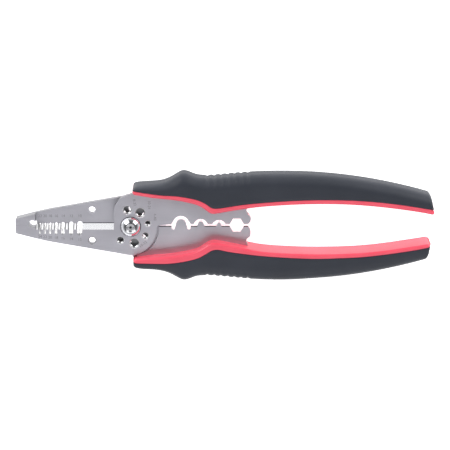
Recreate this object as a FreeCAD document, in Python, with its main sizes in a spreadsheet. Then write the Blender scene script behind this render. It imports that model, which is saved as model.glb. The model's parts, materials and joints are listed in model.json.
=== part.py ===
import FreeCAD, Part
import math
import os

import Sketcher
from FreeCAD import Vector

# Multi-purpose wire stripper, lying flat and closed. Millimetres.
# Origin: on the pivot axis, in the plane where the two steel halves lap each other.
# +X runs towards the handles, +Y towards the upper handle, +Z out of the front face.

os.makedirs("parts", exist_ok=True)
doc = FreeCAD.newDocument("wire_stripper")

# ---------------------------------------------------------------- driving sizes
SIZES = {
    "blade_thickness": (3.2, "steel of one half, from the lap plane to its outer face"),
    "lap_gap": (0.06, "oil gap between the two lapped plates"),
    "die_offset": (1.6, "how far each crimping plate is thickened past the lap plane"),
    "jaw_line": (0.8, "height of the line on which the jaws close"),
    "jaw_mirror": (0.3, "height about which the outer edges of the two jaws mirror"),
    "nose_gap": (0.08, "gap between the closed nose tips"),
    "edge_lap": (0.35, "how far each cutting edge passes the jaw line"),
    "bevel_height": (2.6, "ground bevel behind the cutting edge, across the jaw"),
    "bevel_land": (0.2, "flat left at the cutting edge"),
    "notch_slope": (4.2, "fall of a stripping notch through the plate"),
    "nose_slot_radius": (2.0, "clearance hole behind the nose tips"),
    "loop_hole_radius": (1.75, "wire looping hole in each jaw"),
    "cutter_circle": (8.95, "radius of the circle of screw cutting holes"),
    "cutter_turn": (26, "opening angle at which the screw cutting holes line up, in degrees"),
    "hole_chamfer": (0.35, "lead-in chamfer of the screw cutting holes"),
    "shoulder_radius": (3.0, "ground shoulder of the pivot screw"),
    "pivot_clearance": (0.05, "radial running clearance in the front half"),
    "head_radius": (5.1, "pivot screw head"),
    "head_height": (3.0, "pivot screw head"),
    "thread_radius": (2.4, "pivot screw thread"),
    "recess_width": (1.4, "one arm of the cross recess"),
    "recess_reach": (2.25, "half length of the cross recess"),
    "recess_depth": (1.7, "depth of the cross recess"),
    "washer_radius": (5.4, "washer under the nut"),
    "washer_thickness": (0.8, "washer under the nut"),
    "nut_width": (8.0, "pivot nut across its flats"),
    "nut_height": (2.6, "thin nut"),
    "thread_end": (0.5, "thread that stands out of the nut"),
    "die_hexagon": (6.7, "hexagonal crimping nest across its flats"),
    "grip_depth": (17.0, "handle from front face to back face"),
    "core_depth": (9.6, "hidden part of the red core"),
    "core_sink": (0.8, "how far the hidden part of the core reaches into the strip"),
    "cover_wall": (3.5, "black cover over the hidden core"),
    "shoulder_round": (1.6, "rounding of the cover's outer edges"),
    "strip_round": (0.8, "rounding of the strip's inner edges"),
}

sheet = doc.addObject("Spreadsheet::Sheet", "sizes")
for row, (alias, (value, note)) in enumerate(SIZES.items(), start=1):
    sheet.set(f"A{row}", alias)
    sheet.set(f"B{row}", str(value))
    sheet.setAlias(f"B{row}", alias)
    sheet.set(f"C{row}", note)
doc.recompute()


def size(alias):
    """A driving size, as a number."""
    return float(sheet.get(alias))


# Stripping notches: place along the jaw and wire diameter, American gauges 22 to 10.
NOTCHES = [
    (-46.6, 0.64),
    (-44.0, 0.81),
    (-41.4, 1.02),
    (-38.3, 1.29),
    (-34.8, 1.63),
    (-30.6, 2.05),
    (-26.2, 2.59),
]

# Screw cutting holes: angle on their circle in degrees, and thread diameter.
CUTTER_HOLES = [(100, 4.17), (56, 4.83), (11, 2.84), (-32.5, 3.18), (-78.6, 4.83), (-126.6, 3.5)]

# Crimping nests of the front half: centre, half width at the mouth, height of the top.
NESTS = [(25.85, 4.9, 5.75), (35.95, 3.65, 4.15), (45.3, 3.45, 3.6)]
NEST_EDGE = 1.5
DIE_EDGE = 0.0
GAP_START = (14.1, 0.8)  # the crimping gap narrows towards the boss, down to this corner
UPPER_HEXAGON = (54.45, 0.98)
LOWER_HEXAGON = (54.45, 0.3)

LOOP_HOLES = {1: (-19.85, -7.3), -1: (-19.85, 8.15)}
NOSE_SLOT = (-50.3, 1.4)
NOSE_END = -59.0
NOSE_BLOCK_END = -48.8  # the nose is as thick as both plates up to here
LAP_START = -48.3  # the jaws lap each other from here to the pivot
BEVEL_END = -8.6

# Outer edge of the front half's jaw, from the nose to the boss.
JAW = [(-59.0, -2.9), ((-58.8, -3.45), (-58.3, -3.65)), (-48.8, -6.15), (-41.0, -7.9), (-1.5, -14.95)]


# ---------------------------------------------------------------- helpers
def new_body(label):
    made = doc.addObject("PartDesign::Body", label)
    made.Label = label
    return made


def new_sketch(body, name, role="XY_Plane", height="0"):
    """An empty sketch on one of the body's own origin planes, lifted by an expression."""
    made = body.newObject("Sketcher::SketchObject", name)
    plane = next(item for item in body.Origin.OriginFeatures if item.Role == role)
    made.AttachmentSupport = [(plane, "")]
    made.MapMode = "FlatFace"
    made.setExpression("AttachmentOffset.Base.z", height)
    return made


def vec(point):
    return Vector(point[0], point[1], 0)


def draw(sketch, start, moves):
    """Draws one closed outline. A move is an end point, an arc (via, end) or a list, a smooth curve."""
    here = start
    for move in moves:
        if isinstance(move, list):
            curve = Part.BSplineCurve()
            curve.interpolate([vec(here)] + [vec(point) for point in move])
            sketch.addGeometry(curve, False)
            here = move[-1]
        elif isinstance(move[0], tuple):
            via, end = move
            sketch.addGeometry(Part.Arc(vec(here), vec(via), vec(end)), False)
            here = end
        else:
            sketch.addGeometry(Part.LineSegment(vec(here), vec(move)), False)
            here = move
    if math.dist(here, start) > 1e-6:
        sketch.addGeometry(Part.LineSegment(vec(here), vec(start)), False)


def circle(sketch, centre, radius):
    """A circle whose centre and radius are expressions or numbers bound into the sketch."""
    index = sketch.addGeometry(Part.Circle(Vector(1, 1, 0), Vector(0, 0, 1), 1), False)
    for kind, value in (("DistanceX", centre[0]), ("DistanceY", centre[1])):
        number = sketch.addConstraint(Sketcher.Constraint(kind, -1, 1, index, 3, 1))
        sketch.setExpression(f"Constraints[{number}]", str(value))
    number = sketch.addConstraint(Sketcher.Constraint("Radius", index, 1))
    sketch.setExpression(f"Constraints[{number}]", str(radius))
    return index


def pad(body, name, sketch, length):
    made = body.newObject("PartDesign::Pad", name)
    made.Profile = sketch
    made.setExpression("Length", length)
    doc.recompute()
    return made


def pocket(body, name, sketch, length, upwards=True, direction=None):
    """Cuts from the sketch plane, along its normal or a direction, and checks that something was cut."""
    before = body.Shape.copy()
    made = body.newObject("PartDesign::Pocket", name)
    made.Profile = sketch
    made.setExpression("Length", length)
    made.Reversed = upwards
    if direction:
        made.UseCustomVector = True
        made.Direction = Vector(*direction)
    doc.recompute()
    if before.cut(body.Shape).Volume < 1e-3:
        raise RuntimeError(f"{name} cut nothing")
    return made


def hexagon(across_flats, centre, turn=0):
    """The six corners of a regular hexagon."""
    reach = across_flats / math.sqrt(3)
    return [
        (
            centre[0] + reach * math.cos(math.radians(60 * k + turn)),
            centre[1] + reach * math.sin(math.radians(60 * k + turn)),
        )
        for k in range(6)
    ]


def dressed(body, kind, name, feature, edges, amount):
    """A fillet or chamfer on numbered edges of a feature."""
    made = body.newObject(f"PartDesign::{kind}", name)
    made.Base = (feature, [f"Edge{number}" for number in edges])
    made.setExpression("Radius" if kind == "Fillet" else "Size", amount)
    doc.recompute()
    return made


# ---------------------------------------------------------------- outlines of the steel
def across(point, side, line=0.0):
    """A point of the front half's outline, or its mirror image about a height for the rear half."""
    return point if side > 0 else (point[0], 2 * line - point[1])


def mapped(moves, side, line=0.0):
    """A list of points and arcs, carried across to the other half where side is -1."""
    made = []
    for move in moves:
        if isinstance(move[0], tuple):
            made.append(tuple(across(point, side, line) for point in move))
        else:
            made.append(across(move, side, line))
    return made


def jaw_edge():
    """Height of the front half's nose edge and of its cutting edge."""
    return size("jaw_line") - size("nose_gap") / 2, size("jaw_line") + size("edge_lap")


def nest_moves():
    """Upper crimping edge of the front half: three round nests and half a hexagon."""
    moves = []
    for centre, half, top in NESTS:
        waist = 0.78 * half
        height = NEST_EDGE + 0.42 * (top - NEST_EDGE)
        moves += [
            (centre - half, NEST_EDGE),
            (centre - waist, height),
            ((centre, top), (centre + waist, height)),
            (centre + half, NEST_EDGE),
        ]
    corners = hexagon(size("die_hexagon"), UPPER_HEXAGON)
    right, upper_right, upper_left, left = corners[:4]
    share = (NEST_EDGE - right[1]) / (upper_right[1] - right[1])
    inset = share * (right[0] - upper_right[0])
    moves += [
        (left[0] + inset, NEST_EDGE),
        upper_left,
        upper_right,
        (right[0] - inset, NEST_EDGE),
        (60.2, NEST_EDGE),
    ]
    return moves


def gap_edge(x):
    """Height of the front half's crimping edge between the boss and the first nest."""
    centre, half, _ = NESTS[0]
    share = (x - GAP_START[0]) / (centre - half - GAP_START[0])
    return GAP_START[1] + share * (NEST_EDGE - GAP_START[1])


def indenter_moves():
    """Lower crimping edge of the rear half: three indenters and half a hexagon."""
    foot, slot_end = -1.0, -1.9
    tongue = NESTS[0][0]
    moves = [
        (tongue - 4.9, DIE_EDGE),
        (tongue - 4.9, foot),
        ((tongue - 4.0, slot_end), (tongue - 3.1, foot)),
        (tongue - 2.3, 2.0),
        ((tongue, 3.6), (tongue + 2.3, 2.0)),
        (tongue + 3.1, foot),
        ((tongue + 4.0, slot_end), (tongue + 4.9, foot)),
        (tongue + 4.9, DIE_EDGE),
    ]
    for (centre, _, _), half, top in zip(NESTS[1:], (2.0, 1.4), (2.4, 1.9)):
        moves += [
            (centre - half, DIE_EDGE),
            (centre - 0.45 * half, top - 0.4),
            ((centre, top), (centre + 0.45 * half, top - 0.4)),
            (centre + half, DIE_EDGE),
        ]
    corners = hexagon(size("die_hexagon"), LOWER_HEXAGON)
    right, left, lower_left, lower_right = corners[0], corners[3], corners[4], corners[5]
    share = (right[1] - DIE_EDGE) / (right[1] - lower_right[1])
    inset = share * (right[0] - lower_right[0])
    moves += [
        (left[0] + inset, DIE_EDGE),
        lower_left,
        lower_right,
        (right[0] - inset, DIE_EDGE),
        (60.2, DIE_EDGE),
    ]
    return moves


def lobe_moves(side):
    """Rounded end of the crimping plate, up to where it enters the handle."""
    return mapped(
        [((61.6, 3.4), (61.0, 6.0)), ((59.4, 7.7), (59.9, 9.8)), (60.8, 13.0)], side
    )


def plate_outline(side):
    """Start point and moves of the whole plate of one half, nose to the end of its tang."""
    nose, edge = jaw_edge()
    dies = nest_moves() if side > 0 else indenter_moves()
    gap_corner = GAP_START if side > 0 else (GAP_START[0], DIE_EDGE)
    boss = [
        ((2.0, -14.95), (4.9, -14.0)),
        ((9.4, -10.6), (12.2, -5.6)),
        ((13.25, -2.0), (13.4, -0.2)),
    ]
    tang = [
        (65.0, 15.6),
        (90.0, 16.8),
        (112.0, 16.4),
        ((114.6, 18.4), (112.5, 20.8)),
        (88.0, 22.3),
        (60.0, 21.9),
        (20.0, 20.4),
        (7.0, 19.2),
        (1.3, 17.5),
        (-0.5, 16.9 if side > 0 else 14.6),
        ((-6.1, 13.9), (-8.4, 8.0)),
    ]
    edges = [(-8.4, edge), (LAP_START, edge), (LAP_START, nose)]
    start = across((NOSE_END, nose), side, size("jaw_line"))
    moves = mapped(JAW, side, size("jaw_mirror")) + mapped(boss, side) + [gap_corner] + dies
    moves += lobe_moves(side) + mapped(tang, side) + mapped(edges, side, size("jaw_line"))
    return start, moves


def die_outline(side):
    """Start point and moves of the crimping plate, where a half is thickened past the lap plane."""
    start = (14.5, gap_edge(14.5) if side > 0 else DIE_EDGE)
    dies = nest_moves() if side > 0 else indenter_moves()
    if side > 0:
        back = [(60.8, 16.0), (9.0, 17.6), (9.0, 15.2), (10.7, 10.9)]
    else:
        back = [(60.8, 16.0), (2.6, 17.8), (3.4, 15.05), ((7.65, 13.4), (10.7, 10.95))]
    gap = (across((13.6, 5.9), side), start)
    return start, dies + lobe_moves(side) + mapped(back, side) + [gap]


def nose_block_outline(side):
    """Start point and moves of the nose tip, which is as thick as both plates."""
    nose, _ = jaw_edge()
    line = size("jaw_line")
    moves = mapped(JAW[:3], side, size("jaw_mirror")) + [across((NOSE_BLOCK_END, nose), side, line)]
    return across((NOSE_END, nose), side, line), moves


def layer(side, near, far):
    """Height and length expressions of a layer from near to far, both measured to the outside."""
    low = near if side > 0 else f"0 - ({far})"
    return low, f"({far}) - ({near})"


PLATE = ("sizes.lap_gap / 2", "sizes.blade_thickness")
THICK_DIE = ("0 - sizes.die_offset", "sizes.blade_thickness")
FULL = ("0 - sizes.blade_thickness", "sizes.blade_thickness")
LAYERS = [("plate", plate_outline, PLATE), ("die", die_outline, THICK_DIE)]


# ---------------------------------------------------------------- steel halves
def blade_holes(body, side):
    """Looping hole, nose hole, pivot bore and the ring of screw cutting holes."""
    sketch = new_sketch(body, f"{body.Label}_holes", height="0 - sizes.blade_thickness - 1")
    turn = 0 if side > 0 else size("cutter_turn")
    for angle, thread in CUTTER_HOLES:
        place = math.radians(angle + turn)
        centre = (
            f"sizes.cutter_circle * {math.cos(place):.6f}",
            f"sizes.cutter_circle * {math.sin(place):.6f}",
        )
        circle(sketch, centre, thread / 2)
    circle(sketch, LOOP_HOLES[side], "sizes.loop_hole_radius")
    circle(sketch, NOSE_SLOT, "sizes.nose_slot_radius")
    bore = "sizes.shoulder_radius" + (" + sizes.pivot_clearance" if side > 0 else "")
    circle(sketch, (0, 0), bore)
    pocket(body, f"{body.Label}_hole_cut", sketch, "2 * sizes.blade_thickness + 2")


def blade_bevel(body, side):
    """The ground bevel of the stripper and cutter, seen along the jaw."""
    _, edge = jaw_edge()
    near = size("lap_gap") / 2 + size("bevel_land")
    slope = (size("blade_thickness") - near) / size("bevel_height")
    over = 0.5
    corners = [
        (edge + over, near - over * slope),
        (edge - size("bevel_height") - over, size("blade_thickness") + over * slope),
        (edge + over, size("blade_thickness") + over * slope),
    ]
    if side < 0:
        corners = [(2 * size("jaw_line") - y, -z) for y, z in corners]
    sketch = new_sketch(body, f"{body.Label}_bevel", "YZ_Plane", str(NOSE_BLOCK_END))
    draw(sketch, corners[0], corners[1:])
    pocket(body, f"{body.Label}_bevel_cut", sketch, str(BEVEL_END - NOSE_BLOCK_END))


def blade_notches(body, side):
    """Stripping notches: round at the lap plane, falling away through the plate."""
    sketch = new_sketch(body, f"{body.Label}_notches")
    line = size("jaw_line")
    rise = 3.0
    for place, wire in NOTCHES:
        half = wire / 2
        low = line - side * half
        draw(
            sketch,
            (place - half, line),
            [((place, low), (place + half, line)), (place + half, line + side * rise),
             (place - half, line + side * rise)],
        )
    fall = (0, -side * size("notch_slope"), side * size("blade_thickness"))
    pocket(body, f"{body.Label}_notch_cut", sketch, "1.2 * sizes.blade_thickness", False, fall)


def chamfer_holes(body, side):
    """Lead-in chamfers on the outer rims of the screw cutting holes and of the looping hole."""
    tip = body.Tip
    height = side * size("blade_thickness")
    ring = size("cutter_circle")
    rims = []
    for number, edge in enumerate(tip.Shape.Edges, start=1):
        if not isinstance(edge.Curve, Part.Circle):
            continue
        centre = edge.Curve.Center
        on_ring = abs(math.hypot(centre.x, centre.y) - ring) < 0.01
        at_loop = math.dist((centre.x, centre.y), LOOP_HOLES[side]) < 0.01
        if abs(centre.z - height) < 0.01 and (on_ring or at_loop):
            rims.append(number)
    dressed(body, "Chamfer", f"{body.Label}_rims", tip, rims, "sizes.hole_chamfer")


def make_blade(label, side):
    body = new_body(label)
    for name, outline, (near, far) in LAYERS + [("nose", nose_block_outline, FULL)]:
        low, length = layer(side, near, far)
        sketch = new_sketch(body, f"{label}_{name}", height=low)
        draw(sketch, *outline(side))
        pad(body, f"{label}_{name}_pad", sketch, length)
    blade_bevel(body, side)
    blade_notches(body, side)
    blade_holes(body, side)
    chamfer_holes(body, side)
    return body


# ---------------------------------------------------------------- pivot
def make_pivot_screw():
    """Domed head with a cross recess, ground shoulder and thread, turned about the pivot axis."""
    body = new_body("pivot_screw")
    seat = size("blade_thickness") + size("pivot_clearance")
    crown = seat + size("head_height")
    head, shoulder, thread = size("head_radius"), size("shoulder_radius"), size("thread_radius")
    back = -size("blade_thickness")
    end = back - size("washer_thickness") - size("nut_height") - size("thread_end")
    sketch = new_sketch(body, "screw_profile", "XZ_Plane")
    dome = ((0.62 * head, crown - 0.7), (head - 0.2, seat + 0.85))
    rim = ((head - 0.04, seat + 0.6), (head, seat + 0.4))
    shank = [(head, seat), (shoulder, seat), (shoulder, back), (thread, back)]
    point = [(thread, end + 0.4), (thread - 0.4, end), (0, end)]
    draw(sketch, (0, crown), [dome, rim] + shank + point)
    turned = body.newObject("PartDesign::Revolution", "screw_turned")
    turned.Profile = sketch
    turned.ReferenceAxis = (sketch, ["V_Axis"])
    turned.Angle = 360
    doc.recompute()
    arm, reach = size("recess_width") / 2, size("recess_reach")
    quarter = [(reach, -arm), (reach, arm), (arm, arm)]
    corners = []
    for turn in range(4):
        for x, y in quarter:
            for _ in range(turn):
                x, y = -y, x
            corners.append((x, y))
    recess = new_sketch(body, "cross_recess", height=f"{crown} - sizes.recess_depth")
    draw(recess, corners[0], corners[1:])
    pocket(body, "cross_recess_cut", recess, "sizes.recess_depth + 1")
    return body


def make_pivot_washer():
    body = new_body("pivot_washer")
    low = "0 - sizes.blade_thickness - sizes.washer_thickness"
    sketch = new_sketch(body, "washer_ring", height=low)
    circle(sketch, (0, 0), "sizes.washer_radius")
    circle(sketch, (0, 0), "sizes.thread_radius + 0.15")
    pad(body, "washer_pad", sketch, "sizes.washer_thickness")
    return body


def make_pivot_nut():
    body = new_body("pivot_nut")
    low = "0 - sizes.blade_thickness - sizes.washer_thickness - sizes.nut_height"
    sketch = new_sketch(body, "nut_hexagon", height=low)
    corners = hexagon(size("nut_width"), (0, 0), 30)
    draw(sketch, corners[0], corners[1:])
    circle(sketch, (0, 0), "sizes.thread_radius")
    tip = pad(body, "nut_pad", sketch, "sizes.nut_height")
    base = tip.Shape.BoundBox.ZMin
    outer = [
        number
        for number, edge in enumerate(tip.Shape.Edges, start=1)
        if isinstance(edge.Curve, Part.Line) and edge.BoundBox.ZMax < base + 0.01
    ]
    dressed(body, "Chamfer", "nut_chamfer", tip, outer, "0.5")
    return body


# ---------------------------------------------------------------- handles
# Edges of the two handles, seen square to the front face: outer edge, seam between the
# black cover and the red strip, and inner edge.
UPPER_OUTER = [
    (1.3, 21.3),
    (6.0, 22.3),
    (12.0, 22.75),
    (17.5, 23.7),
    (21.0, 25.3),
    (24.0, 27.15),
    (26.8, 28.4),
    (29.0, 28.15),
    (32.5, 26.75),
    (38.5, 25.85),
    (44.0, 26.2),
    (56.0, 27.3),
    (80.0, 28.05),
    (94.0, 27.6),
    (106.0, 26.6),
    (131.0, 22.65),
    (153.5, 17.0),
]
LOWER_OUTER = [
    (1.3, -21.1),
    (6.0, -22.15),
    (12.0, -22.5),
    (17.5, -23.55),
    (21.0, -25.05),
    (24.0, -26.8),
    (26.8, -28.0),
    (29.0, -27.85),
    (32.5, -26.5),
    (38.5, -25.7),
    (44.0, -26.0),
    (56.0, -27.15),
    (80.0, -28.05),
    (94.0, -27.3),
    (106.0, -26.25),
    (131.0, -22.2),
    (153.5, -16.45),
]
UPPER_SEAM = [
    (1.3, 19.95),
    (6.0, 19.15),
    (12.0, 18.25),
    (18.0, 17.6),
    (24.0, 17.3),
    (29.0, 16.5),
    (32.0, 15.95),
    (35.0, 15.1),
    (38.0, 13.7),
    (40.0, 12.4),
    (42.0, 11.1),
    (44.0, 10.85),
    (48.0, 11.3),
    (57.0, 12.75),
    (65.0, 13.6),
    (76.0, 14.5),
    (88.0, 15.15),
    (100.0, 15.35),
    (118.0, 14.85),
    (130.0, 13.8),
    (142.0, 12.25),
]
LOWER_SEAM = [
    (1.3, -18.1),
    (6.0, -18.3),
    (12.0, -18.4),
    (18.0, -18.45),
    (24.0, -17.9),
    (29.0, -17.0),
    (32.0, -16.3),
    (35.0, -15.3),
    (38.0, -13.7),
    (40.0, -12.4),
    (42.0, -11.3),
    (44.0, -10.9),
    (48.0, -11.55),
    (57.0, -13.05),
    (65.0, -14.05),
    (76.0, -14.95),
    (88.0, -15.6),
    (97.0, -15.75),
    (106.0, -15.5),
    (118.0, -14.9),
    (130.0, -13.6),
    (142.0, -11.85),
]
UPPER_INNER = [
    (1.3, 17.9),
    (6.0, 17.2),
    (12.0, 16.2),
    (18.0, 15.6),
    (24.0, 14.9),
    (29.0, 13.9),
    (32.0, 13.2),
    (35.0, 12.2),
    (38.0, 10.4),
    (40.0, 8.8),
    (42.0, 7.95),
    (44.0, 8.05),
    (48.0, 8.8),
    (57.0, 10.3),
    (65.0, 11.4),
    (76.0, 12.3),
    (88.0, 12.9),
    (97.0, 13.05),
    (112.0, 12.75),
    (124.0, 11.85),
    (136.0, 10.5),
    (148.0, 8.7),
    (155.3, 7.2),
]
LOWER_INNER = [
    (1.3, -16.6),
    (6.0, -15.9),
    (12.0, -15.15),
    (18.0, -14.75),
    (24.0, -13.95),
    (29.0, -13.0),
    (32.0, -12.3),
    (35.0, -11.2),
    (38.0, -9.25),
    (40.0, -7.9),
    (42.0, -7.3),
    (44.0, -7.35),
    (48.0, -8.05),
    (57.0, -9.9),
    (65.0, -11.65),
    (76.0, -12.75),
    (88.0, -13.3),
    (97.0, -13.45),
    (106.0, -13.3),
    (118.0, -12.75),
    (130.0, -11.5),
    (142.0, -9.7),
    (155.3, -7.5),
]
OUTER = {1: UPPER_OUTER, -1: LOWER_OUTER}
SEAM = {1: UPPER_SEAM, -1: LOWER_SEAM}
INNER = {1: UPPER_INNER, -1: LOWER_INNER}
SEAM_END = {1: (155.9, 9.9), -1: (155.9, -9.15)}  # rear corner where cover and strip meet
END_BULGE = {1: (155.2, 13.6), -1: (155.2, -13.0)}  # middle of the cover's rear end
HIDDEN_FRONT = (5.0, (18.1, 19.2))  # place and heights of the hidden core's front face
HIDDEN_BACK = (146.0, (10.3, 15.2))


def strip_outline(side):
    """The red strip along the inner edge."""
    low, high = INNER[side], SEAM[side]
    return low[0], [low[1:], SEAM_END[side], high[::-1]]


def cover_outline(side):
    """The black cover, from the strip to the outer edge."""
    low, high = SEAM[side], OUTER[side]
    return low[0], [low[1:] + [SEAM_END[side]], (END_BULGE[side], high[-1]), high[-2::-1]]


def hidden_outline(side):
    """The part of the red core that the cover hides."""
    (start, front_heights), (end, back_heights) = HIDDEN_FRONT, HIDDEN_BACK
    sink, wall = size("core_sink"), size("cover_wall")
    low = [(x, y - side * sink) for x, y in SEAM[side] if start < x < end]
    high = [(x, y - side * wall) for x, y in OUTER[side] if start < x < end]
    front = [(start, side * y) for y in front_heights]
    back = [(end, side * y) for y in back_heights]
    return front[0], [low + [back[0]], back[1], high[::-1] + [front[1]]]


def rounded(body, name, outer_side, amount):
    """Fillets the long edges of a handle piece's outer or inner side, on its front and back."""
    tip = body.Tip
    half = size("grip_depth") / 2
    found = []
    for number, edge in enumerate(tip.Shape.Edges, start=1):
        box = edge.BoundBox
        flat = abs(abs(box.ZMin) - half) < 0.01 and box.ZLength < 0.01
        if flat and box.XLength > 100:
            middle = edge.valueAt((edge.FirstParameter + edge.LastParameter) / 2)
            found.append((abs(middle.y), number))
    found.sort()
    chosen = found[-2:] if outer_side else found[:2]
    dressed(body, "Fillet", name, tip, [number for _, number in chosen], amount)


def tang_slots(body, side):
    """Room for the steel half inside a handle piece."""
    for name, outline, (near, far) in LAYERS:
        low, length = layer(side, near, far)
        sketch = new_sketch(body, f"{body.Label}_{name}_slot", height=low)
        draw(sketch, *outline(side))
        pocket(body, f"{body.Label}_{name}_slot_cut", sketch, length)


def make_grip_core(label, side):
    """Red inner moulding: the visible strip, and the hidden part that holds the tang."""
    body = new_body(label)
    sketch = new_sketch(body, f"{label}_strip", height="0 - sizes.grip_depth / 2")
    draw(sketch, *strip_outline(side))
    pad(body, f"{label}_strip_pad", sketch, "sizes.grip_depth")
    rounded(body, f"{label}_round", False, "sizes.strip_round")
    sketch = new_sketch(body, f"{label}_hidden", height="0 - sizes.core_depth / 2")
    draw(sketch, *hidden_outline(side))
    pad(body, f"{label}_hidden_pad", sketch, "sizes.core_depth")
    tang_slots(body, side)
    return body


def make_grip_cover(label, side):
    """Black outer moulding, wrapped over the core from outside."""
    body = new_body(label)
    sketch = new_sketch(body, f"{label}_profile", height="0 - sizes.grip_depth / 2")
    draw(sketch, *cover_outline(side))
    pad(body, f"{label}_pad", sketch, "sizes.grip_depth")
    rounded(body, f"{label}_round", True, "sizes.shoulder_round")
    sketch = new_sketch(body, f"{label}_hollow", height="0 - sizes.core_depth / 2")
    draw(sketch, *hidden_outline(side))
    pocket(body, f"{label}_hollow_cut", sketch, "sizes.core_depth")
    sketch = new_sketch(body, f"{label}_plate_slot", height=layer(side, *PLATE)[0])
    draw(sketch, *plate_outline(side))
    pocket(body, f"{label}_plate_slot_cut", sketch, layer(side, *PLATE)[1])
    return body


subparts = [
    make_blade("front_blade", 1),
    make_blade("rear_blade", -1),
    make_pivot_screw(),
    make_pivot_washer(),
    make_pivot_nut(),
    make_grip_core("upper_grip_core", 1),
    make_grip_cover("upper_grip_cover", 1),
    make_grip_core("lower_grip_core", -1),
    make_grip_cover("lower_grip_cover", -1),
]

doc.recompute()
for item in doc.Objects:
    if "Invalid" in item.State or "Error" in item.State:
        raise RuntimeError(f"{item.Label} failed: {item.State}")
for part in subparts:
    if part.Shape.isNull() or not part.Shape.isValid() or len(part.Shape.Solids) != 1:
        raise RuntimeError(f"{part.Label} has a bad shape")
for part in subparts:
    part.Shape.exportStep(f"parts/{part.Label}.step")
    box = part.Shape.BoundBox
    print(f"{part.Label}: {part.Shape.Volume:.0f} mm3, x {box.XMin:.1f} to {box.XMax:.1f}, "
          f"y {box.YMin:.1f} to {box.YMax:.1f}, z {box.ZMin:.1f} to {box.ZMax:.1f}")
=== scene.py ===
import json
import math

import bpy
from mathutils import Matrix, Vector
from mathutils.bvhtree import BVHTree


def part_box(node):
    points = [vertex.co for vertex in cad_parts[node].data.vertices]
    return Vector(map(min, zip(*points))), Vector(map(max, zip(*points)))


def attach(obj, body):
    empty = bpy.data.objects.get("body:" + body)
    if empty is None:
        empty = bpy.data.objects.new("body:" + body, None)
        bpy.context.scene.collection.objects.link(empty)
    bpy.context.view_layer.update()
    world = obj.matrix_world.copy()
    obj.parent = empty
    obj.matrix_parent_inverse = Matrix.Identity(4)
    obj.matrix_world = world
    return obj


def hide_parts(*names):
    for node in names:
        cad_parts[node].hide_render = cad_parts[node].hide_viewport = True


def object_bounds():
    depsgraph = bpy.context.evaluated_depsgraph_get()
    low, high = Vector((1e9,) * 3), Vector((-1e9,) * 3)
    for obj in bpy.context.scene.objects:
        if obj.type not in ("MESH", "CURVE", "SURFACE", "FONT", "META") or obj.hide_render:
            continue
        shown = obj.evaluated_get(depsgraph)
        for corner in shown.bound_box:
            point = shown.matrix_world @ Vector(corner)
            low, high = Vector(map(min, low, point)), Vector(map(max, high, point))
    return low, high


# A multi-purpose wire stripper on a plain pale floor. Metres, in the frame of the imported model:
# origin on the pivot axis, +X towards the handles, +Y towards the upper handle, +Z out of the front face.

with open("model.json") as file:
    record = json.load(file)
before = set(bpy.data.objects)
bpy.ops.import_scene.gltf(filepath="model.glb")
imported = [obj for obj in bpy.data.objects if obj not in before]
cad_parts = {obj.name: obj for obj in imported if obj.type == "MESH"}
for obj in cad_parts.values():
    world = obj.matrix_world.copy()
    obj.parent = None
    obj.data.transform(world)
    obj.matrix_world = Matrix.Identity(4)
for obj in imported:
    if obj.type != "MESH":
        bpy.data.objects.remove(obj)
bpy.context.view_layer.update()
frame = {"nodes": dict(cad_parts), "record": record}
nodes = frame["nodes"]

MM = 0.001

# ---------------------------------------------------------------- places on the steel, in millimetres
NOTCHES = [  # place along the jaw, and diameter of the wire
    (-46.6, 0.64), (-44.0, 0.81), (-41.4, 1.02), (-38.3, 1.29), (-34.8, 1.63), (-30.6, 2.05), (-26.2, 2.59),
]
GAUGES = [22, 20, 18, 16, 14, 12, 10]  # of the notches, in the same order
JAW_START = (-49.6, 0.64)  # where a notch would end that the first tooth follows
TOOTH_HALF = 0.5
EDGE_Y = (-3.6, 4.2)  # reach of the notches and of the cutting edge
CUTTER_X = (-24.9, -8.4)
# Painted shadow line along the cutting edge, on the rear plate.
CUTTER_LINE_X = (-24.6, -8.4)
CUTTER_LINE_Y = (1.0, 1.45)
DIE_X = (14, 62)
DIE_Y = (-6.3, 6.3)
# Painted shadow line along the top edge of the rear plate's dies, broken at the posts.
DIE_LINE_Y = (-0.45, 0.1)
DIE_TOP_Z = (1.5, 1.7)
POSTS_X = [(22.6, 28.6), (34.2, 37.9), (43.9, 46.6)]
EVERYTHING = -1000  # a start below any place on the tool
HOLE_RING = (3.5, 12)  # distances from the pivot axis that hold the screw holes
HOLE_SIDE_X = (-8.3, -8.1)  # the screw holes are beyond this, and the cutter before it
# Rims of the screw holes and the wall of the boss get a painted highlight.
RIM_Z = (2.8, 2.9)
BOSS_RING = (12.3, 18)
BOSS_SIDE_X = (2, 3)
# Ring of painted shade round the screw head.
SCREW_RING = (4.0, 5.35)
# Lap face behind the screw holes, darkened as painted shade.
LAP_Z = (-0.1, 0.1)
LAP_RING = (EVERYTHING, 11.8)
RECESS_RING = (EVERYTHING, 2.3)
# Bottom of the screw recess, darkened as painted shade.
RECESS_BOTTOM_RING = (EVERYTHING, 0.7)
SCREW_FRONT_Z = (2, 3)

# Dark tone for painted shade: round the screw head, along the cutting edge and the dies, and at the bottom
# of the screw recess.
PAINTED_SHADE = (0.06, 0.06, 0.07)


# ---------------------------------------------------------------- materials
def new_material(name, metallic=0.0):
    """An empty material with one Principled shader, and its node tree."""
    made = bpy.data.materials.new(name)
    made.use_nodes = True
    tree = made.node_tree
    shader = tree.nodes["Principled BSDF"]
    shader.inputs["Metallic"].default_value = metallic
    return made, tree, shader


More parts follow.
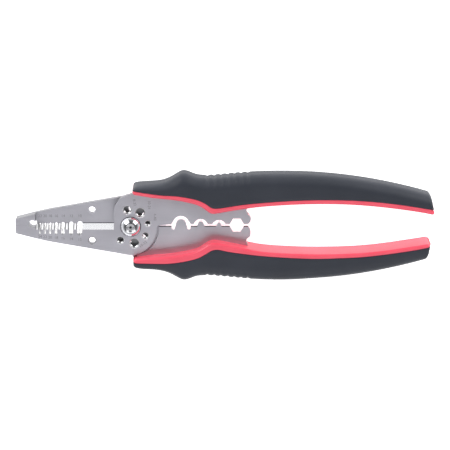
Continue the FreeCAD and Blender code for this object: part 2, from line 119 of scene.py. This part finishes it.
def noise(tree, scale, detail, stretch=(1, 1, 1)):
    """Noise over the piece's own coordinates; scale is in features per metre."""
    place = tree.nodes.new("ShaderNodeTexCoord")
    spread = tree.nodes.new("ShaderNodeMapping")
    spread.inputs["Scale"].default_value = stretch
    made = tree.nodes.new("ShaderNodeTexNoise")
    made.inputs["Scale"].default_value = scale
    made.inputs["Detail"].default_value = detail
    tree.links.new(place.outputs["Object"], spread.inputs["Vector"])
    tree.links.new(spread.outputs["Vector"], made.inputs["Vector"])
    return made.outputs["Fac"]


def ramp(tree, factor, stops):
    """A colour ramp; stops are (position, colour)."""
    made = tree.nodes.new("ShaderNodeValToRGB")
    band = made.color_ramp
    while len(band.elements) < len(stops):
        band.elements.new(0.5)
    for element, (position, colour) in zip(band.elements, stops):
        element.position = position
        element.color = (*colour, 1)
    tree.links.new(factor, made.inputs["Fac"])
    return made.outputs["Color"]


def spread_to(tree, factor, low, high, start=0.3, end=0.7):
    """Maps start to end, by default the usual range of a noise, onto low to high."""
    made = tree.nodes.new("ShaderNodeMapRange")
    made.inputs["From Min"].default_value = start
    made.inputs["From Max"].default_value = end
    made.inputs["To Min"].default_value = low
    made.inputs["To Max"].default_value = high
    tree.links.new(factor, made.inputs["Value"])
    return made.outputs["Result"]


def bump(tree, shader, layers):
    """Chains bumps onto the shader's normal; layers are (height, strength, distance)."""
    normal = None
    for height, strength, distance in layers:
        made = tree.nodes.new("ShaderNodeBump")
        made.inputs["Strength"].default_value = strength
        made.inputs["Distance"].default_value = distance
        tree.links.new(height, made.inputs["Height"])
        if normal is not None:
            tree.links.new(normal, made.inputs["Normal"])
        normal = made.outputs["Normal"]
    tree.links.new(normal, shader.inputs["Normal"])


def arithmetic(tree, operation, first, second=None):
    """A math node on sockets or plain numbers."""
    made = tree.nodes.new("ShaderNodeMath")
    made.operation = operation
    for slot, value in enumerate((first, second)):
        if value is None:
            continue
        if isinstance(value, (int, float)):
            made.inputs[slot].default_value = value
        else:
            tree.links.new(value, made.inputs[slot])
    return made.outputs["Value"]


def axes(tree, output):
    """X, Y and Z of the piece's own coordinates or of its normal."""
    place = tree.nodes.new("ShaderNodeTexCoord")
    split = tree.nodes.new("ShaderNodeSeparateXYZ")
    tree.links.new(place.outputs[output], split.inputs["Vector"])
    return split.outputs["X"], split.outputs["Y"], split.outputs["Z"]


def step(tree, value, low, high):
    """Runs from 0 at low to 1 at high."""
    made = tree.nodes.new("ShaderNodeMapRange")
    made.interpolation_type = "SMOOTHSTEP"
    made.inputs["From Min"].default_value = low
    made.inputs["From Max"].default_value = high
    tree.links.new(value, made.inputs["Value"])
    return made.outputs["Result"]


def band(tree, value, low, high, soft):
    """1 between low and high, fading to 0 over the soft distance on both sides."""
    rise = step(tree, value, low - soft, low + soft)
    fall = step(tree, value, high - soft, high + soft)
    return arithmetic(tree, "SUBTRACT", rise, fall)


def zone(tree, value, span, soft):
    """band with its span and soft distance in millimetres."""
    return band(tree, value, span[0] * MM, span[1] * MM, soft * MM)


def beyond(tree, value, span):
    """step over a span in millimetres."""
    return step(tree, value, span[0] * MM, span[1] * MM)


def product(tree, *factors):
    """All the factors multiplied."""
    result = factors[0]
    for factor in factors[1:]:
        result = arithmetic(tree, "MULTIPLY", result, factor)
    return result


def blend_colour(tree, factor, first, second):
    """The colour output first where the factor is 0, the plain colour second where it is 1."""
    made = tree.nodes.new("ShaderNodeMix")
    made.data_type = "RGBA"
    first_input, second_input, result = made.inputs[6], made.inputs[7], made.outputs[2]
    tree.links.new(factor, made.inputs["Factor"])
    tree.links.new(first, first_input)
    second_input.default_value = (*second, 1)
    return result


def blend_value(tree, factor, first, second):
    """first where the factor is 0, the number second where it is 1."""
    rest = arithmetic(tree, "SUBTRACT", 1.0, factor)
    kept = arithmetic(tree, "MULTIPLY", first, rest)
    return arithmetic(tree, "ADD", kept, arithmetic(tree, "MULTIPLY", factor, second))


def from_pivot(tree, x, y):
    """Distance from the pivot axis."""
    squares = [arithmetic(tree, "MULTIPLY", value, value) for value in (x, y)]
    return arithmetic(tree, "SQRT", arithmetic(tree, "ADD", *squares))


def flatness(tree):
    """1 on faces that look up or down, 0 on upright walls."""
    return arithmetic(tree, "ABSOLUTE", axes(tree, "Normal")[2])


def finish_material(tree, shader, colour, rough, layers=()):
    """Links the colour, the roughness and the bumps to the shader."""
    tree.links.new(colour, shader.inputs["Base Color"])
    tree.links.new(rough, shader.inputs["Roughness"])
    if layers:
        bump(tree, shader, layers)


def blade_steel(name, shaded):
    """Hardened steel plate: satin blasted faces; painted highlights on the sharpened edges, dies, boss wall
    and hole rims; painted shade on the other walls and in the screw holes. shaded adds more painted shade.
    """
    made, tree, shader = new_material(name, metallic=1.0)
    cloud = noise(tree, 60, 4)
    grain = noise(tree, 900, 3, (0.08, 1, 1))
    blast = noise(tree, 3500, 2)
    x, y, z = axes(tree, "Object")
    radius = from_pivot(tree, x, y)
    wall = arithmetic(tree, "SUBTRACT", 1.0, step(tree, flatness(tree), 0.88, 0.96))

    cutter = zone(tree, x, CUTTER_X, 0.05)
    places = cutter
    for place, wire in NOTCHES:
        notch = zone(tree, x, (place - 0.5 * wire, place + 0.5 * wire), 0.03)
        places = arithmetic(tree, "MAXIMUM", places, notch)
    for (left, small), (right, large) in zip([JAW_START] + NOTCHES, NOTCHES):
        middle = 0.5 * (left + 0.5 * small + right - 0.5 * large)
        tooth = zone(tree, x, (middle - TOOTH_HALF, middle + TOOTH_HALF), 0.1)
        places = arithmetic(tree, "MAXIMUM", places, tooth)

    edge = product(tree, wall, zone(tree, y, EDGE_Y, 0.1))
    dies = product(tree, wall, zone(tree, x, DIE_X, 0.3), zone(tree, y, DIE_Y, 0.3))
    ground_highlight = arithmetic(tree, "MAXIMUM", dies, product(tree, edge, places))
    holes = product(tree, wall, zone(tree, radius, HOLE_RING, 0.2), beyond(tree, x, HOLE_SIDE_X))
    rims = product(tree, holes, beyond(tree, z, RIM_Z))
    boss = product(tree, wall, zone(tree, radius, BOSS_RING, 0.3), beyond(tree, x, BOSS_SIDE_X))

    # Tones painted over the steel's own colour, for light and shade.
    colour = ramp(tree, cloud, [(0.3, (0.575, 0.565, 0.62)), (0.7, (0.65, 0.64, 0.70))])
    for factor, tone in (
        # Upright walls darker: painted shade.
        (wall, (0.27, 0.27, 0.28)),
        # Bevels, notches, teeth and dies near white: painted highlight.
        (ground_highlight, (0.97, 0.96, 0.96)),
        # Screw hole walls dark: painted shade.
        (holes, (0.16, 0.16, 0.17)),
        # Boss wall pale: painted highlight.
        (boss, (0.75, 0.74, 0.77)),
        # Rims of the screw holes pale: painted highlight.
        (rims, (0.80, 0.80, 0.82)),
        *shaded(tree, x, y, z, radius),
    ):
        colour = blend_colour(tree, factor, colour, tone)
    rough = spread_to(tree, grain, 0.40, 0.52)
    for factor, value in ((ground_highlight, 0.45), (product(tree, edge, cutter), 0.2), (rims, 0.8)):
        rough = blend_value(tree, factor, rough, value)
    finish_material(tree, shader, colour, rough, [(grain, 0.10, 0.00002), (blast, 0.25, 0.00002)])
    return made


def front_shade(tree, x, y, z, radius):
    """A ring of painted shade round the screw head."""
    return [(zone(tree, radius, SCREW_RING, 0.08), PAINTED_SHADE)]


def rear_shade(tree, x, y, z, radius):
    """Painted shade: a darker lap face behind the screw holes, and dark lines along the cutting edge and
    the dies.
    """
    lap = zone(tree, z, LAP_Z, 0.02)
    behind = product(tree, lap, zone(tree, radius, LAP_RING, 0.2), beyond(tree, x, HOLE_SIDE_X))
    cutter = product(tree, lap, zone(tree, y, CUTTER_LINE_Y, 0.08), zone(tree, x, CUTTER_LINE_X, 0.1))
    rim = product(tree, zone(tree, z, DIE_TOP_Z, 0.02), zone(tree, y, DIE_LINE_Y, 0.08),
                  zone(tree, x, DIE_X, 0.2))
    for span in POSTS_X:
        rim = product(tree, rim, arithmetic(tree, "SUBTRACT", 1.0, zone(tree, x, span, 0.1)))
    # behind is painted shade on the lap face; cutter and rim are painted shadow lines.
    return [(behind, (0.35, 0.35, 0.37)), (cutter, PAINTED_SHADE), (rim, PAINTED_SHADE)]


def etched_steel():
    """Faint grey etching."""
    made, tree, shader = new_material("etched_steel", metallic=1.0)
    cloud = noise(tree, 1500, 2)
    colour = ramp(tree, cloud, [(0.3, (0.22, 0.21, 0.24)), (0.7, (0.46, 0.45, 0.48))])
    finish_material(tree, shader, colour, spread_to(tree, cloud, 0.5, 0.6))
    return made


def thread_steel():
    """Steel of the cut threads, darkened as painted shade inside the screw holes."""
    made, tree, shader = new_material("thread_steel", metallic=1.0)
    cloud = noise(tree, 800, 3)
    # Darker than the plate steel: painted shade in the screw holes.
    colour = ramp(tree, cloud, [(0.3, (0.35, 0.35, 0.36)), (0.7, (0.60, 0.60, 0.61))])
    finish_material(tree, shader, colour, spread_to(tree, cloud, 0.25, 0.40))
    return made


def plated_steel():
    """Bright plating with a very slight ripple, matt in the recess, with painted shade at the recess
    bottom.
    """
    made, tree, shader = new_material("plated_steel", metallic=1.0)
    ripple = noise(tree, 400, 2)
    x, y, z = axes(tree, "Object")
    radius = from_pivot(tree, x, y)
    recess = zone(tree, radius, RECESS_RING, 0.2)
    bottom = product(tree, zone(tree, radius, RECESS_BOTTOM_RING, 0.1), beyond(tree, z, SCREW_FRONT_Z))
    colour = ramp(tree, ripple, [(0.3, (0.74, 0.74, 0.76)), (0.7, (0.82, 0.82, 0.84))])
    # Painted shade at the bottom of the recess.
    colour = blend_colour(tree, bottom, colour, PAINTED_SHADE)
    rough = blend_value(tree, recess, spread_to(tree, ripple, 0.10, 0.16), 0.5)
    finish_material(tree, shader, colour, rough, [(ripple, 0.05, 0.00002)])
    return made


def red_plastic():
    """Semi-gloss moulded red plastic, polished by use along the rounded edges."""
    made, tree, shader = new_material("red_plastic")
    cloud = noise(tree, 90, 3)
    grain = noise(tree, 2600, 2)
    colour = ramp(tree, cloud, [(0.3, (0.88, 0.09, 0.14)), (0.7, (0.94, 0.11, 0.165))])
    corner = band(tree, flatness(tree), 0.40, 0.95, 0.04)
    rough = blend_value(tree, corner, spread_to(tree, grain, 0.36, 0.46), 0.22)
    finish_material(tree, shader, colour, rough, [(grain, 0.18, 0.00003)])
    return made


def black_rubber():
    """Fine-grained black overmoulding."""
    made, tree, shader = new_material("black_rubber")
    cloud = noise(tree, 45, 4)
    grain = noise(tree, 2200, 3)
    shader.inputs["Specular IOR Level"].default_value = 0.35
    colour = ramp(tree, cloud, [(0.3, (0.027, 0.031, 0.042)), (0.7, (0.035, 0.039, 0.052))])
    finish_material(tree, shader, colour, spread_to(tree, grain, 0.46, 0.60), [(grain, 0.30, 0.00004)])
    return made


# ---------------------------------------------------------------- handles
FRONT_X = 1.3 * MM
INNER_END_X = {1: 155.5 * MM, -1: 153.8 * MM}  # rear end of the upper and lower handle, at the strip
OUTER_END_X = {1: 153.4 * MM, -1: 152.4 * MM}  # the same on the outer side
INNER_PROBE_X = 154.9 * MM  # the last places where rays meet the CAD solids
OUTER_PROBE_X = 153.1 * MM
HALF_DEPTH = 8.5 * MM
STATIONS = 260  # rings along a handle, between its rounded ends
END_STEPS = 7  # rings in each rounded end
PROBE_Z = 6.0 * MM  # beside the slot that the steel passes through
RIBS_X = [39.4 * MM + k * 3.45 * MM for k in range(7)]
RIB_HALF = 1.25 * MM
RIB_DEPTH = 0.5 * MM
END_ROUND = 1.5 * MM


def surface(node):
    """A CAD node's mesh as a tree that rays can be cast at."""
    mesh = nodes[node].data
    return BVHTree.FromPolygons(
        [v.co.copy() for v in mesh.vertices], [list(p.vertices) for p in mesh.polygons]
    )


class Handle:
    """The edges of one handle, read off its CAD solids."""

    def __init__(self, prefix, side):
        self.side = side
        self.cover = surface(f"{prefix}_grip_cover")
        self.core = surface(f"{prefix}_grip_core")

    def outer(self, x):
        """Y of the cover's outer side at x."""
        start = Vector((x, self.side * 0.1, PROBE_Z))
        return self.cover.ray_cast(start, Vector((0, -self.side, 0)))[0].y

    def inner(self, x):
        """Y of the strip's inner face at x."""
        return self.from_inside(self.core, x)

    def seam(self, x):
        """Y where the strip meets the cover at x."""
        return self.from_inside(self.cover, x)

    def from_inside(self, piece, x):
        """Y of the piece's face towards the other handle at x."""
        start = Vector((x, self.side * 0.0005, PROBE_Z))
        return piece.ray_cast(start, Vector((0, self.side, 0)))[0].y


def ease(value):
    """A smooth rise from 0 at 0 to 1 at 1."""
    value = min(1.0, max(0.0, value))
    return value * value * (3 - 2 * value)


def rib_dip(x):
    """How far the outer side is hollowed between the ribs at x."""
    dip = 0.0
    for centre in RIBS_X:
        near = abs(x - centre) / RIB_HALF
        if near < 1:
            dip = max(dip, RIB_DEPTH * 0.5 * (1 + math.cos(math.pi * near)))
    return dip


def cover_section(height):
    """Half of a cover's section, from the strip to the middle of the outer side, as (rise, depth)."""
    lip = 0.35 * MM
    round_y = min(6.5 * MM, 0.8 * height)
    round_z = 6.0 * MM
    power = 0.85  # under 1 makes the rounding squarer than an ellipse
    round_steps, flat_steps = 10, 5
    points = [
        (0.0, 0.0),
        (0.0, HALF_DEPTH - 2 * lip),
        (0.0, HALF_DEPTH - lip),
        (0.35 * lip, HALF_DEPTH - 0.3 * lip),
    ]
    flat = height - round_y
    for k in range(flat_steps):
        points.append((lip + (flat - lip) * k / flat_steps, HALF_DEPTH))
    for k in range(round_steps + 1):
        angle = math.pi / 2 * k / round_steps
        points.append((
            flat + round_y * math.sin(angle) ** power,
            HALF_DEPTH - round_z * (1 - math.cos(angle) ** power),
        ))
    for k in range(1, flat_steps):
        points.append((height, (HALF_DEPTH - round_z) * (1 - k / flat_steps)))
    points.append((height, 0.0))
    return points


def strip_section(height):
    """Half of a strip's section, from its inner face to the cover, as (rise, depth)."""
    edge = 1.1 * MM
    edge_steps = 6
    depth = HALF_DEPTH - 0.15 * MM
    points = [(0.0, 0.0), (0.0, 0.5 * (depth - edge))]
    for k in range(edge_steps + 1):
        angle = math.pi / 2 * k / edge_steps
        points.append((edge * (1 - math.cos(angle)), depth - edge * (1 - math.sin(angle))))
    points += [
        (0.5 * (edge + height), depth),
        (height - 0.2 * MM, depth),
        (height, depth - 0.25 * MM),
        (height, 0.5 * depth),
        (height, 0.0),
    ]
    return points


def loft(name, sections):
    """A closed skin over equal rings of points, with both ends filled."""
    count = len(sections[0])
    vertices = [point for ring in sections for point in ring]
    faces = []
    for row in range(len(sections) - 1):
        for k in range(count):
            a = row * count + k
            b = row * count + (k + 1) % count
            faces.append((a, b, b + count, a + count))
    faces.append(tuple(reversed(range(count))))
    faces.append(tuple((len(sections) - 1) * count + k for k in range(count)))
    mesh = bpy.data.meshes.new(name)
    mesh.from_pydata(vertices, [], faces)
    mesh.validate()
    made = bpy.data.objects.new(name, mesh)
    bpy.context.scene.collection.objects.link(made)
    tidy_normals(made)
    return made


def tidy_normals(piece):
    """Outward normals, and smooth shading except across sharp edges."""
    bpy.context.view_layer.objects.active = piece
    for other in bpy.context.selected_objects:
        other.select_set(False)
    piece.select_set(True)
    bpy.ops.object.mode_set(mode="EDIT")
    bpy.ops.mesh.select_all(action="SELECT")
    bpy.ops.mesh.normals_make_consistent(inside=False)
    bpy.ops.object.mode_set(mode="OBJECT")
    bpy.ops.object.shade_smooth_by_angle(angle=math.radians(35))


def stations():
    """Places along a handle from 0 to 1, each with an inset that rounds both ends."""
    length = INNER_END_X[1] - FRONT_X
    ends = []
    for k in range(END_STEPS):
        angle = math.pi / 2 * k / END_STEPS
        ends.append((END_ROUND * (1 - math.cos(angle)) / length, END_ROUND * (1 - math.sin(angle))))
    first = END_ROUND / length
    middle = [(first + (1 - 2 * first) * k / STATIONS, 0.0) for k in range(STATIONS + 1)]
    return ends + middle + [(1 - at, inset) for at, inset in reversed(ends)]


def rings(handle, section, is_cover):
    """Rings of the cover, from the seam to the outer edge, or of the strip, up to the seam."""
    made = []
    for share, inset in stations():
        inner_x = FRONT_X + (INNER_END_X[handle.side] - FRONT_X) * share
        outer_x = FRONT_X + (OUTER_END_X[handle.side] - FRONT_X) * share
        low = Vector((inner_x, handle.inner(min(inner_x, INNER_PROBE_X)), 0))
        high = Vector((outer_x, handle.outer(min(outer_x, OUTER_PROBE_X)), 0))
        across = (high - low).normalized()
        split = (handle.seam(inner_x) - low.y) / across.y
        start, end = (split, (high - low).length) if is_cover else (0.0, split)
        half = section(end - start)
        ring = []
        for rise, depth in half + [(rise, -depth) for rise, depth in reversed(half[1:-1])]:
            share_up = rise / (end - start)
            kept = rise * (1 - 2 * inset / (end - start)) + inset
            if is_cover and share_up < 0.5:
                kept = rise
            side_depth = math.copysign(max(abs(depth) - inset, 0.0), depth) if depth else 0.0
            point = low + across * (start + kept)
            if is_cover:
                point -= across * rib_dip(point.x) * ease((share_up - 0.45) / 0.4)
            ring.append((point.x, point.y, side_depth))
        made.append(ring)
    return made


def make_handle(prefix, side, body, black, red):
    """One handle's cover and strip, in place of its two CAD solids."""
    handle = Handle(prefix, side)
    cover = loft(f"{prefix}_handle_cover", rings(handle, cover_section, True))
    strip = loft(f"{prefix}_handle_strip", rings(handle, strip_section, False))
    for piece, material, node, slot in (
        (cover, black, f"{prefix}_grip_cover", "grip_black"),
        (strip, red, f"{prefix}_grip_core", "grip_red"),
    ):
        piece.data.materials.append(material)
        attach(piece, body)
        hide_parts(node)


# ---------------------------------------------------------------- markings
MARK_SIZE = 2.0 * MM
MARK_DEPTH = 0.004 * MM
REAR_FACE_Z = -0.03 * MM  # of the rear half's nose


def etched(name, labels, height, body, material):
    """Flat size numbers on a steel face: labels are (text, place in millimetres, turn in degrees)."""
    vertices, faces = [], []
    for text, place, turn in labels:
        curve = bpy.data.curves.new(name, "FONT")
        curve.body = text
        curve.size = MARK_SIZE
        curve.extrude = MARK_DEPTH
        curve.align_x = "CENTER"
        curve.align_y = "CENTER"
        writer = bpy.data.objects.new(name, curve)
        mesh = bpy.data.meshes.new_from_object(writer)
        spin = Matrix.Rotation(math.radians(turn), 3, "Z")
        start = len(vertices)
        move = Vector((place[0] * MM, place[1] * MM, height + 1.5 * MARK_DEPTH))
        vertices += [spin @ vertex.co + move for vertex in mesh.vertices]
        faces += [[start + index for index in polygon.vertices] for polygon in mesh.polygons]
        bpy.data.objects.remove(writer)
    mesh = bpy.data.meshes.new(name)
    mesh.from_pydata(vertices, [], faces)
    piece = bpy.data.objects.new(name, mesh)
    bpy.context.scene.collection.objects.link(piece)
    mesh.materials.append(material)
    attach(piece, body)


def make_markings(front_face):
    """Wire gauges over and under the notches, and thread sizes beside four of the screw holes."""
    ink = etched_steel()
    gauges = [(str(gauge), (place, 4.9), 0) for gauge, (place, _) in zip(GAUGES, NOTCHES)]
    etched("rear_marks", gauges, REAR_FACE_Z, "rear_half", ink)
    threads = [
        ("8-32", (2.1, 12.8), -80),
        ("10-24", (9.6, 11.6), -90),
        ("4-40", (12.5, 5.2), -90),
        ("10-32", (6.3, -9.3), 40),
    ]
    lower = [
        (str(gauge + 2), (place, -5.2 - 0.08 * (place - NOTCHES[0][0])), 0)
        for gauge, (place, _) in zip(GAUGES, NOTCHES)
    ]
    etched("front_marks", threads + lower, front_face, "front_half", ink)


# ---------------------------------------------------------------- threads
INCH = 25.4 * MM
THREAD_GAP = 0.1 * MM  # between the ridge and either end of its hole
PER_TURN = 28  # sections in a turn of the helix
FADE_STEPS = 6  # sections over which the ridge rises at its ends


def make_thread(mount, steel):
    """The ridge of the thread in one screw hole, a triangle swept along a helix."""
    centre = Vector(mount["pos_m"])
    radius = mount["dims"]["r_mm"] * MM
    pitch = INCH / int(mount["name"].split("_")[-1])
    half = 0.42 * pitch  # half the width of the ridge at its root
    low = THREAD_GAP + half
    rise = mount["dims"]["length_mm"] * MM - 2 * THREAD_GAP - 2 * half
    count = int(rise / pitch * PER_TURN)
    root = radius + 0.05 * MM
    sections = []
    for k in range(count + 1):
        angle = math.tau * k / PER_TURN
        height = low + pitch * k / PER_TURN
        taper = min(1.0, k / FADE_STEPS, (count - k) / FADE_STEPS)
        reach = radius - max(0.5 * pitch * taper, 0.02 * MM)
        ring = []
        for distance, lift in ((root, -half), (reach, 0.0), (root, half)):
            ring.append((
                centre.x + distance * math.cos(angle),
                centre.y + distance * math.sin(angle),
                height + lift,
            ))
        sections.append(ring)
    piece = loft(mount["name"].replace("screw_hole", "thread"), sections)
    piece.data.materials.append(steel)
    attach(piece, "front_half")


# ---------------------------------------------------------------- stage
SKY = (1.0, 0.12)  # brightness of the pale room at the horizon and overhead
FLOOR_REACH = 3.0
TOOL_CENTRE = Vector((0.048, 0, 0))


def area_light(name, place, size, power):
    """A rectangular soft light that faces the tool."""
    data = bpy.data.lights.new(name, "AREA")
    data.shape = "RECTANGLE"
    data.size, data.size_y = size
    data.energy = power
    made = bpy.data.objects.new(name, data)
    made.location = place
    aim = TOOL_CENTRE - Vector(place)
    made.rotation_mode = "QUATERNION"
    made.rotation_quaternion = aim.to_track_quat("-Z", "Y")
    bpy.context.scene.collection.objects.link(made)


def make_stage():
    """Soft boxes overhead in a pale room, and a white floor."""
    scene = bpy.context.scene
    scene.view_settings.view_transform = "Standard"
    scene.world = bpy.data.worlds.new("soft_room")
    scene.world.use_nodes = True
    room = scene.world.node_tree
    back = room.nodes["Background"]
    back.inputs["Color"].default_value = (0.95, 0.97, 1.0, 1)
    height = axes(room, "Generated")[2]
    room.links.new(spread_to(room, height, *SKY, 0.1, 0.55), back.inputs["Strength"])
    area_light("left_softbox", (-0.50, 0.50, 0.45), (0.5, 0.5), 4.0)
    area_light("right_softbox", (0.60, 0.50, 0.45), (0.5, 0.5), 4.0)
    area_light("near_softbox", (0.05, -0.60, 0.68), (1.2, 0.6), 3.9)

    low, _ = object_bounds()
    mesh = bpy.data.meshes.new("floor")
    corners = [(-1, -1), (1, -1), (1, 1), (-1, 1)]
    places = [(x * FLOOR_REACH, y * FLOOR_REACH, low.z) for x, y in corners]
    mesh.from_pydata(places, [], [(0, 1, 2, 3)])
    floor = bpy.data.objects.new("floor", mesh)
    scene.collection.objects.link(floor)
    made, _, shader = new_material("pale_floor")
    shader.inputs["Base Color"].default_value = (0.94, 0.94, 0.94, 1)
    shader.inputs["Roughness"].default_value = 0.9
    shader.inputs["Emission Color"].default_value = (1, 1, 1, 1)
    shader.inputs["Emission Strength"].default_value = 0.85
    mesh.materials.append(made)


def make_camera():
    """Square to the handles' length, tilted 15 degrees from straight above towards +Y."""
    tilt = math.radians(15)
    view_width = 0.2315
    lens, sensor = 150.0, 36.0
    distance = view_width * lens / sensor
    target = Vector((0.0484, 0.0001, 0))
    data = bpy.data.cameras.new("camera")
    data.lens = lens
    data.sensor_width = sensor
    camera = bpy.data.objects.new("camera", data)
    camera.location = target + distance * Vector((0, math.sin(tilt), math.cos(tilt)))
    camera.rotation_euler = (-tilt, 0, 0)
    bpy.context.scene.collection.objects.link(camera)
    bpy.context.scene.camera = camera


# ---------------------------------------------------------------- build
make_camera()
plated = plated_steel()
for name, material in (
    ("front_blade", blade_steel("front_steel", front_shade)),
    ("rear_blade", blade_steel("rear_steel", rear_shade)),
    ("pivot_screw", plated),
    ("pivot_washer", plated),
    ("pivot_nut", plated),
):
    for slot in nodes[name].material_slots:
        slot.material = material

thread_shade_steel = thread_steel()
for mount in frame["record"]["mounts"]:
    if mount["name"].startswith("screw_hole"):
        make_thread(mount, thread_shade_steel)
make_markings(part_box("front_blade")[1].z)
black, red = black_rubber(), red_plastic()
make_handle("upper", 1, "front_half", black, red)
make_handle("lower", -1, "rear_half", black, red)
make_stage()
